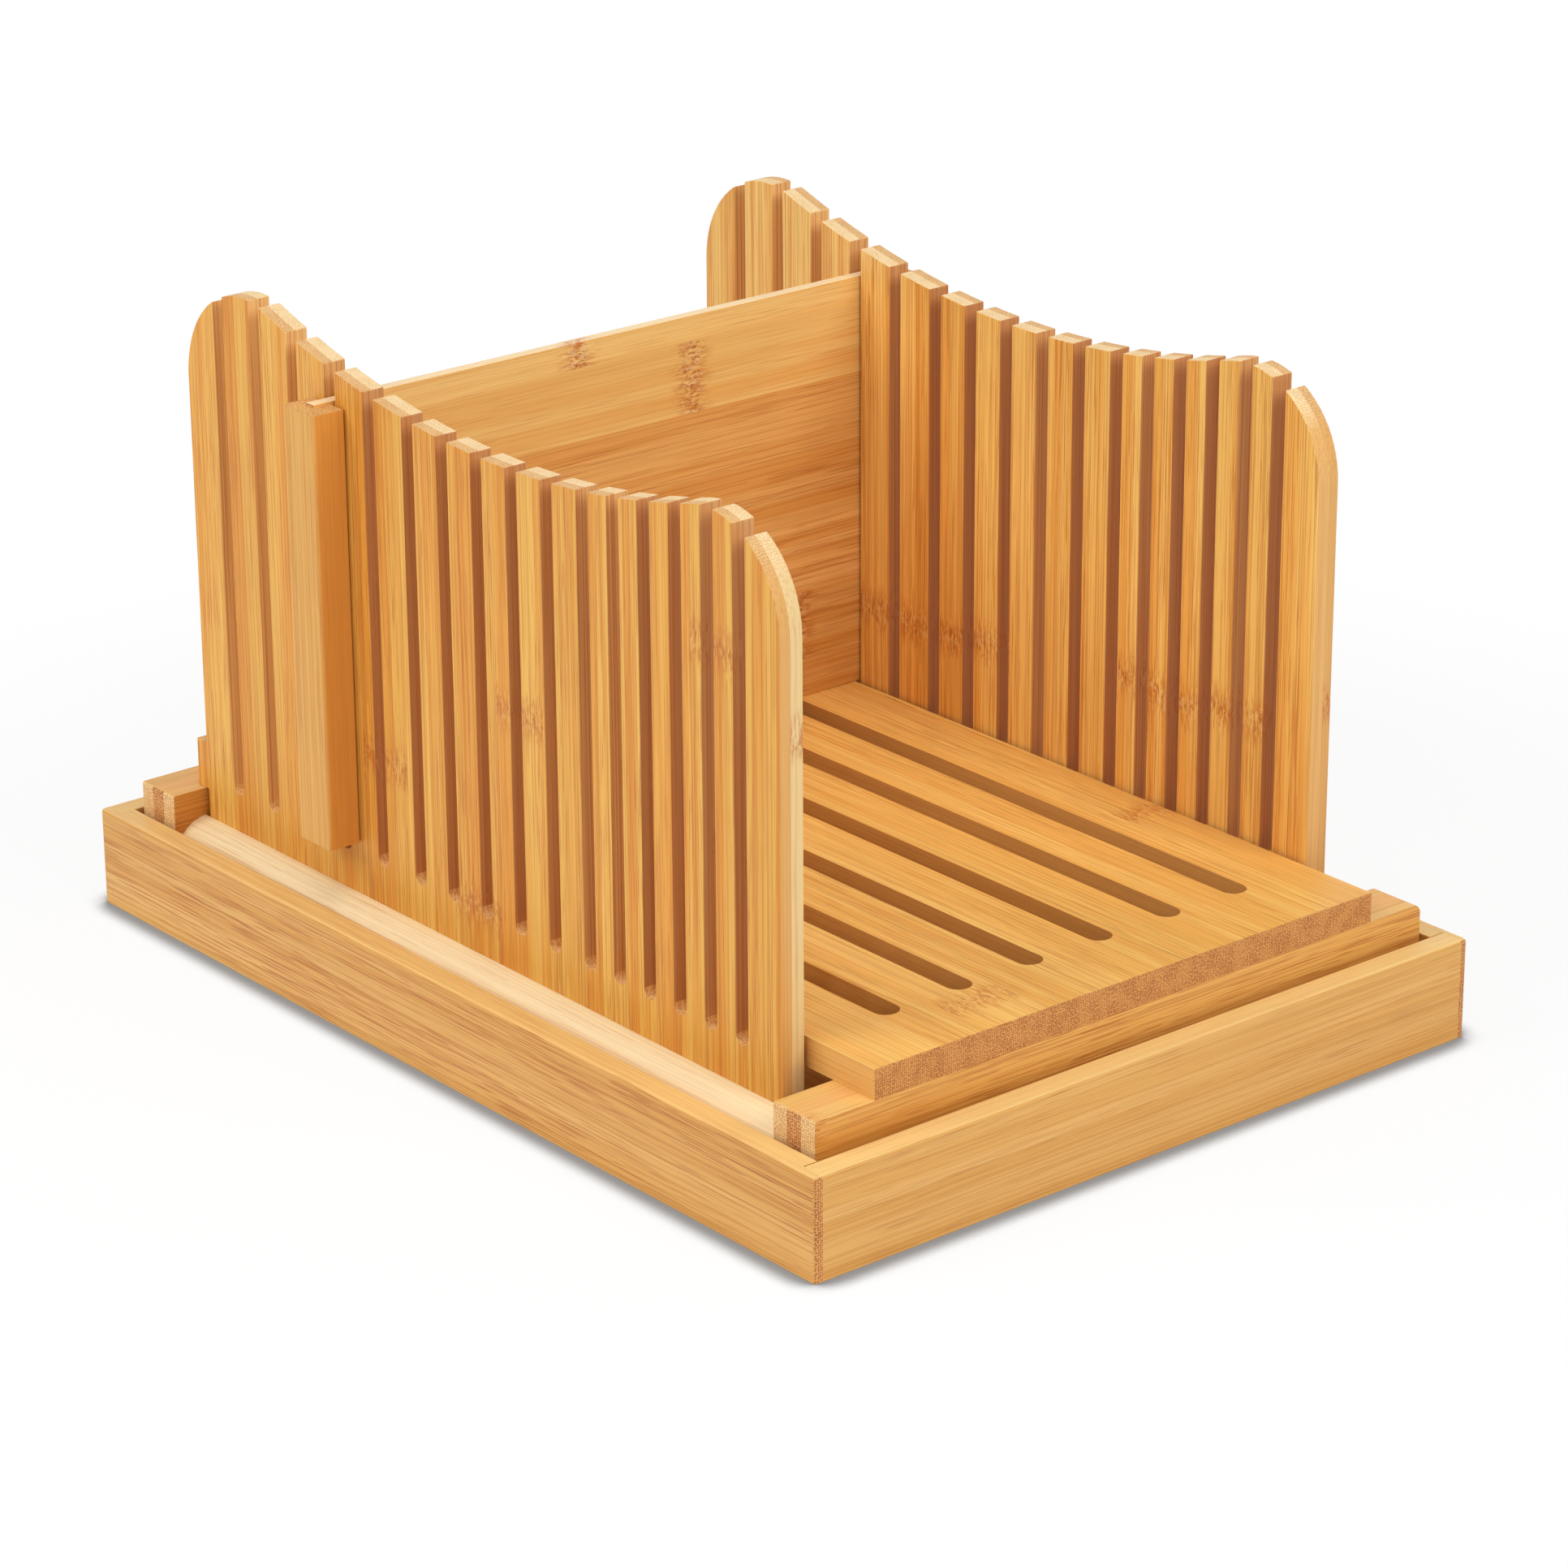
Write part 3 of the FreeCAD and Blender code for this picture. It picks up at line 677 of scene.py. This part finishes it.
# ---- One operator for each group of pieces -------------------------------------------------------------

class BREADSLICER_OT_crumb_tray(bpy.types.Operator):
    """Dress the crumb tray's rails and its floor panel"""
    bl_idname = "breadslicer.crumb_tray"
    bl_label = "Crumb tray"

    def execute(self, context):
        finish, ease = settings().tray, settings().sizes.tray_ease
        side_wood = bamboo("tray_side_bamboo", finish, "Y", "Z", pore_pitch=0.7, nodes=0.0)
        end_wood = bamboo("tray_end_bamboo", finish, "X", "Z", nodes=0.0, stripes=0.3, dashes=0.5)
        floor_wood = bamboo("tray_floor_bamboo", finish, "Y", "Y")
        dress(["tray_rail_" + side for side in SIDES], TRAY, side_wood, "tray_bamboo", ease)
        dress(["tray_rail_" + end for end in ENDS], TRAY, end_wood, "tray_bamboo", ease)
        dress(["tray_floor"], TRAY, floor_wood, "tray_bamboo")
        return {"FINISHED"}


class BREADSLICER_OT_crossbars(bpy.types.Operator):
    """Dress the crossbars' plies"""
    bl_idname = "breadslicer.crossbars"
    bl_label = "Crossbars"

    def execute(self, context):
        wood = bamboo("crossbar_bamboo", settings().crossbar, "X", "Z", nodes=0.4)
        dark_wood = bamboo("crossbar_middle_bamboo", settings().dark_ply, "X", "Z", pore_pitch=0.85)
        for bar in ["crossbar_" + end for end in ENDS]:
            dress([bar + "_inner_ply"], FRAME, wood, "honey_bamboo")
            dress([bar + "_middle_ply"], FRAME, dark_wood, "dark_bamboo")
            dress([bar + "_outer_ply"], FRAME, wood, "honey_bamboo")
        return {"FINISHED"}


class BREADSLICER_OT_bread_board(bpy.types.Operator):
    """Dress the board that the loaf lies on"""
    bl_idname = "breadslicer.bread_board"
    bl_label = "Bread board"

    def execute(self, context):
        wood = bamboo("board_bamboo", settings().board, "Y", "Y", pore_pitch=0.65, nodes=0.4,
                      stripes=0.4, dashes=0.6, pitted=0.3)
        dress(["bread_board"], FRAME, wood, "honey_bamboo")
        return {"FINISHED"}


class BREADSLICER_OT_foot_strips(bpy.types.Operator):
    """Dress the quarter-round strips at the guides' feet"""
    bl_idname = "breadslicer.foot_strips"
    bl_label = "Foot strips"

    def execute(self, context):
        wood = bamboo("foot_strip_bamboo", settings().pale, "Y", "Z", nodes=0.0)
        dress(["foot_strip_" + side for side in SIDES], FRAME, wood, "pale_bamboo")
        return {"FINISHED"}


class BREADSLICER_OT_guides(bpy.types.Operator):
    """Dress the slotted guides' plies"""
    bl_idname = "breadslicer.guides"
    bl_label = "Slotted guides"

    def execute(self, context):
        outer, inner = settings().outer_ply, settings().inner_ply
        look = {"along": "Z", "across": "Y", "pore_pitch": 0.6, "stripes": 0.55, "dashes": 0.7,
                "pitted": 0.3}
        inner_look = {"nodes": 0.7, "scatter": 50.0, **look}
        outer_wood = bamboo("guide_outer_bamboo", outer, nodes=0.5, scatter=110.0, **look)
        left_wood = bamboo("guide_left_inner_bamboo", inner, **inner_look)
        right_wood = bamboo("guide_right_inner_bamboo", inner, edge_colour=outer.edge, **inner_look)
        dress(["guide_" + side + "_outer_ply" for side in SIDES], FRAME, outer_wood, "honey_bamboo")
        dress(["guide_left_inner_ply"], FRAME, left_wood, "honey_bamboo")
        dress(["guide_right_inner_ply"], FRAME, right_wood, "honey_bamboo")
        return {"FINISHED"}


class BREADSLICER_OT_loaf_stop(bpy.types.Operator):
    """Dress the stop's planks and cleats"""
    bl_idname = "breadslicer.loaf_stop"
    bl_label = "Loaf stop"

    def execute(self, context):
        planks = sorted(name for name in frame["nodes"] if name.startswith("stop_plank_"))
        if not planks:
            raise RuntimeError("The packed part has no stop planks")
        look = {"dashes": 0.6, "divided": False}
        wood = bamboo("plank_bamboo", settings().plank, "X", "Z", stripes=0.35, **look)
        upper_wood = bamboo("upper_plank_bamboo", settings().upper_plank, "X", "Z", stripes=0.25, **look)
        cleat_wood = bamboo("cleat_bamboo", settings().cleat, "Z", "Y", pore_pitch=0.7, nodes=0.0,
                            stripes=0.35, **look)
        dress(planks[:-UPPER_PLANKS], STOP, wood, "honey_bamboo")
        dress(planks[-UPPER_PLANKS:], STOP, upper_wood, "honey_bamboo")
        dress(["stop_cleat_" + side for side in SIDES], STOP, cleat_wood, "honey_bamboo")
        return {"FINISHED"}


# ---- Dowels, by geometry nodes -------------------------------------------------------------------------

DOWEL_INPUTS = {
    "Across": "Float", "Along": "Float", "Length": "Float", "Radius": "Float", "Chamfer": "Float",
    "Flutes": "Int", "Flute Depth": "Float", "Turn": "Vector", "Centre": "Vector", "Wood": "Material"}
DOWEL_STEPS = 25
DOWEL_END = 0.72                   # width of a dowel's chamfered ends, as a share of its middle's
POINTS_TO_A_FLUTE = 4.0


def dowel_line(net, given):
    """A dowel's middle line, and how wide the dowel is along it, narrowing at its chamfered ends."""
    half = net.multiply(given["Length"], 0.5)
    line = net.node("GeometryNodeCurvePrimitiveLine", {
        "Start": net.node("ShaderNodeCombineXYZ", {2: net.multiply(half, -1.0)}).outputs[0],
        "End": net.node("ShaderNodeCombineXYZ", {2: half}).outputs[0]}).outputs[0]
    line = net.node("GeometryNodeResampleCurve", {"Curve": line, "Count": DOWEL_STEPS}).outputs[0]
    place = net.node("GeometryNodeInputPosition").outputs[0]
    height = net.node("ShaderNodeSeparateXYZ", {0: place}).outputs[2]
    to_end = net.math("SUBTRACT", half, net.math("ABSOLUTE", height))
    width = net.node("ShaderNodeMapRange", {
        "Value": net.math("DIVIDE", to_end, given["Chamfer"]), "To Min": DOWEL_END, "To Max": 1.0})
    return line, width.outputs[0]


def dowel_section(net, given):
    """A dowel's round section, with a flute for each ripple of the radius."""
    circle = net.node("GeometryNodeCurvePrimitiveCircle", {
        "Resolution": net.multiply(given["Flutes"], POINTS_TO_A_FLUTE), "Radius": given["Radius"]})
    place = net.node("GeometryNodeInputPosition").outputs[0]
    across = net.node("ShaderNodeSeparateXYZ", {0: place}).outputs
    angle = net.math("ARCTAN2", across[1], across[0])
    wave = net.math("COSINE", net.multiply(angle, given["Flutes"]))
    ripple = net.math("SUBTRACT", 0.5, net.multiply(wave, 0.5))
    sunk = net.math("DIVIDE", net.multiply(given["Flute Depth"], ripple), given["Radius"])
    moved = net.node("ShaderNodeVectorMath", {0: place, "Scale": net.math("SUBTRACT", 1.0, sunk)},
                     operation="SCALE").outputs[0]
    return net.node("GeometryNodeSetPosition", {
        "Geometry": circle.outputs[0], "Position": moved}).outputs[0]


def dowel_tree():
    """Four fluted dowels at the corners of a rectangle."""
    tree = bpy.data.node_groups.new("Fluted dowels", "GeometryNodeTree")
    for name, kind in DOWEL_INPUTS.items():
        tree.interface.new_socket(name, in_out="INPUT", socket_type="NodeSocket" + kind)
    tree.interface.new_socket("Geometry", in_out="OUTPUT", socket_type="NodeSocketGeometry")
    net = Net(tree)
    given = net.node("NodeGroupInput").outputs
    line, width = dowel_line(net, given)
    dowel = net.node("GeometryNodeCurveToMesh", {
        "Curve": line, "Profile Curve": dowel_section(net, given), "Scale": width, "Fill Caps": True})
    corners = net.node("GeometryNodeMeshGrid", {
        "Size X": given["Across"], "Size Y": given["Along"], "Vertices X": 2, "Vertices Y": 2})
    placed = net.node("GeometryNodeSetPosition", {
        "Geometry": corners.outputs[0], "Offset": given["Centre"]})
    copies = net.node("GeometryNodeInstanceOnPoints", {
        "Points": placed.outputs[0], "Instance": dowel.outputs[0], "Rotation": given["Turn"]})
    solid = net.node("GeometryNodeRealizeInstances", {0: copies.outputs[0]})
    painted = net.node("GeometryNodeSetMaterial", {
        "Geometry": solid.outputs[0], "Material": given["Wood"]})
    net.node("NodeGroupOutput", {0: painted.outputs[0]})
    return tree


def feed(modifier, values):
    """Sets a geometry nodes modifier's inputs by their names."""
    for item in modifier.node_group.interface.items_tree:
        if item.in_out == "INPUT":
            modifier[item.identifier] = values[item.name]


def dowel_span(node):
    """The size of the box round the packed dowel at the low corner of its group."""
    low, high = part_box(node)
    middle = (low + high) / 2
    points = [vertex.co for vertex in frame["nodes"][node].data.vertices]
    corner = [point for point in points if point.x < middle.x and point.y < middle.y]
    return Vector([max(point[i] for point in corner) - min(point[i] for point in corner)
                   for i in range(3)])


class BREADSLICER_OT_dowels(bpy.types.Operator):
    """Make the fluted dowels that pin the board and the foot strips to the crossbars"""
    bl_idname = "breadslicer.dowels"
    bl_label = "Dowels"

    def execute(self, context):
        sizes = settings().sizes
        tree = dowel_tree()
        for node in present(*DOWEL_AXES):
            axis = DOWEL_AXES[node]
            low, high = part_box(node)
            span = dowel_span(node)
            width = span.z if axis == "Y" else span.x
            wood = bamboo(node[:-1] + "_bamboo", settings().pale, axis, "Y", nodes=0.0)
            holder = bpy.data.objects.new(node + "_fluted", bpy.data.meshes.new(node + "_fluted"))
            context.scene.collection.objects.link(holder)
            rows = holder.modifiers.new("Dowels", "NODES")
            rows.node_group = tree
            feed(rows, {
                "Across": high.x - low.x - width,
                "Along": high.y - low.y - (span.y if axis == "Y" else width),
                "Length": span["XYZ".index(axis)], "Radius": width / 2,
                "Chamfer": sizes.dowel_chamfer, "Flutes": sizes.flutes,
                "Flute Depth": sizes.flute_depth,
                "Turn": (math.pi / 2, 0, 0) if axis == "Y" else (0, 0, 0),
                "Centre": (low + high) / 2, "Wood": wood})
            view = context.evaluated_depsgraph_get()
            mesh = bpy.data.meshes.new_from_object(holder.evaluated_get(view))
            bpy.data.objects.remove(holder)
            finished(mesh, node + "_fluted", FRAME, wood, "dowel_wood", node)
        return {"FINISHED"}


# ---- Stage -------------------------------------------------------------------------------------------

def lamp(name, watts, place):
    """A soft square lamp that faces the slicer."""
    light = bpy.data.lights.new(name, "AREA")
    light.energy = watts
    light.size = settings().studio.lamp_width
    holder = bpy.data.objects.new(name, light)
    bpy.context.scene.collection.objects.link(holder)
    low, high = (Vector(corner) for corner in CAD_BOX)
    middle = (low + high) / 2
    holder.location = place
    holder.rotation_euler = (middle - holder.location).to_track_quat("-Z", "Y").to_euler()


def contact_shade(net):
    """White, darkening close to where the slicer stands on the floor."""
    studio = settings().studio
    near = net.node("ShaderNodeAmbientOcclusion", {"Distance": studio.contact_reach}, samples=16)
    return net.ease(near.outputs["AO"], TOUCHED_FLOOR, OPEN_FLOOR, studio.contact_shade, 1.0)


def seen_directly(net):
    """1 for rays from the camera, from a reflection or through glass, and 0 for light on things."""
    rays = net.node("ShaderNodeLightPath").outputs
    seen = net.math("MAXIMUM", rays["Is Camera Ray"], rays["Is Glossy Ray"])
    return net.math("MAXIMUM", seen, rays["Is Transmission Ray"])


def floor_white():
    """White paint that takes the slicer's shadow, and glows to the camera, more so farther away."""
    studio = settings().studio
    made = bpy.data.materials.new("floor_white")
    made.use_nodes = True
    net = Net(made.node_tree)
    paint = net.node("ShaderNodeBsdfDiffuse", {"Color": FLOOR_WHITE})
    glow = net.node("ShaderNodeEmission", {"Color": WHITE, "Strength": contact_shade(net)})
    place = net.node("ShaderNodeTexCoord").outputs["Object"]
    away = net.node("ShaderNodeVectorMath", {0: place}, operation="LENGTH").outputs["Value"]
    glow_share = net.ease(away, studio.shadow_reach, studio.shadow_reach * SHADOW_FADE,
                          studio.floor_glow, 1.0)
    mixed = net.node("ShaderNodeMixShader", {
        0: net.multiply(seen_directly(net), glow_share), 1: paint.outputs[0], 2: glow.outputs[0]})
    net.node("ShaderNodeOutputMaterial", {0: mixed.outputs[0]})
    return made


class BREADSLICER_OT_stage(bpy.types.Operator):
    """Set up the camera, the white floor and the soft light"""
    bl_idname = "breadslicer.stage"
    bl_label = "Studio"

    def execute(self, context):
        self.camera(context)
        self.floor(context)
        self.sky(context)
        for name, place in LAMP_PLACES.items():
            lamp(name, getattr(settings().studio, name), place)
        context.scene.view_settings.view_transform = "Standard"
        return {"FINISHED"}

    def camera(self, context):
        studio = settings().studio
        camera = bpy.data.cameras.new("studio_camera")
        camera.lens = studio.lens
        camera.sensor_width = studio.sensor
        camera.sensor_fit = "HORIZONTAL"
        holder = bpy.data.objects.new("studio_camera", camera)
        context.scene.collection.objects.link(holder)
        holder.location = studio.camera_place
        holder.rotation_euler = Euler(studio.camera_turn)
        context.scene.camera = holder

    def floor(self, context):
        bm = bmesh.new()
        bmesh.ops.create_grid(bm, x_segments=1, y_segments=1, size=settings().studio.floor_width / 2)
        bmesh.ops.translate(bm, verts=bm.verts, vec=(0, 0, -FLOOR_DROP))
        mesh = bpy.data.meshes.new("studio_floor")
        bm.to_mesh(mesh)
        bm.free()
        mesh.materials.append(floor_white())
        floor = bpy.data.objects.new("studio_floor", mesh)
        context.scene.collection.objects.link(floor)

    def sky(self, context):
        world = context.scene.world or bpy.data.worlds.new("studio_sky")
        context.scene.world = world
        world.use_nodes = True
        net = Net(world.node_tree)
        light = net.node("ShaderNodeBackground", {"Color": WHITE, "Strength": settings().studio.sky})
        white = net.node("ShaderNodeBackground", {"Color": WHITE, "Strength": 1.0})
        mixed = net.node("ShaderNodeMixShader", {
            0: seen_directly(net), 1: light.outputs[0], 2: white.outputs[0]})
        net.node("ShaderNodeOutputWorld", {0: mixed.outputs[0]})


# ---- Panel and registration ----------------------------------------------------------------------------

OPERATORS = (
    BREADSLICER_OT_crumb_tray,
    BREADSLICER_OT_crossbars,
    BREADSLICER_OT_bread_board,
    BREADSLICER_OT_foot_strips,
    BREADSLICER_OT_guides,
    BREADSLICER_OT_loaf_stop,
    BREADSLICER_OT_dowels,
    BREADSLICER_OT_stage,
)


class BREADSLICER_PT_panel(bpy.types.Panel):
    """Lists the slicer's pieces, its sizes and its colours"""
    bl_idname = "BREADSLICER_PT_panel"
    bl_label = "Bread slicer"
    bl_space_type = "VIEW_3D"
    bl_region_type = "UI"
    bl_category = "Bread slicer"

    def draw(self, context):
        column = self.layout.column()
        for operator in OPERATORS:
            column.operator(operator.bl_idname)
        for group in SlicerSettings.__annotations__:
            box = self.layout.box()
            values = getattr(context.scene.bread_slicer, group)
            for name in values.bl_rna.properties.keys():
                if name not in ("rna_type", "name"):
                    box.prop(values, name)


CLASSES = (SlicerSizes, TrayFinish, CrossbarFinish, DarkPlyFinish, BoardFinish, OuterPlyFinish,
           InnerPlyFinish, PaleFinish, PlankFinish, UpperPlankFinish, CleatFinish, SharedColours,
           SlicerStudio, SlicerSettings, *OPERATORS, BREADSLICER_PT_panel)


def register():
    for cls in CLASSES:
        bpy.utils.register_class(cls)
    bpy.types.Scene.bread_slicer = PointerProperty(type=SlicerSettings)


def unregister():
    del bpy.types.Scene.bread_slicer
    for cls in reversed(CLASSES):
        bpy.utils.unregister_class(cls)


def main():
    register()
    for operator in OPERATORS:
        group, name = operator.bl_idname.split(".")
        getattr(getattr(bpy.ops, group), name)()


if __name__ == "__main__":
    main()
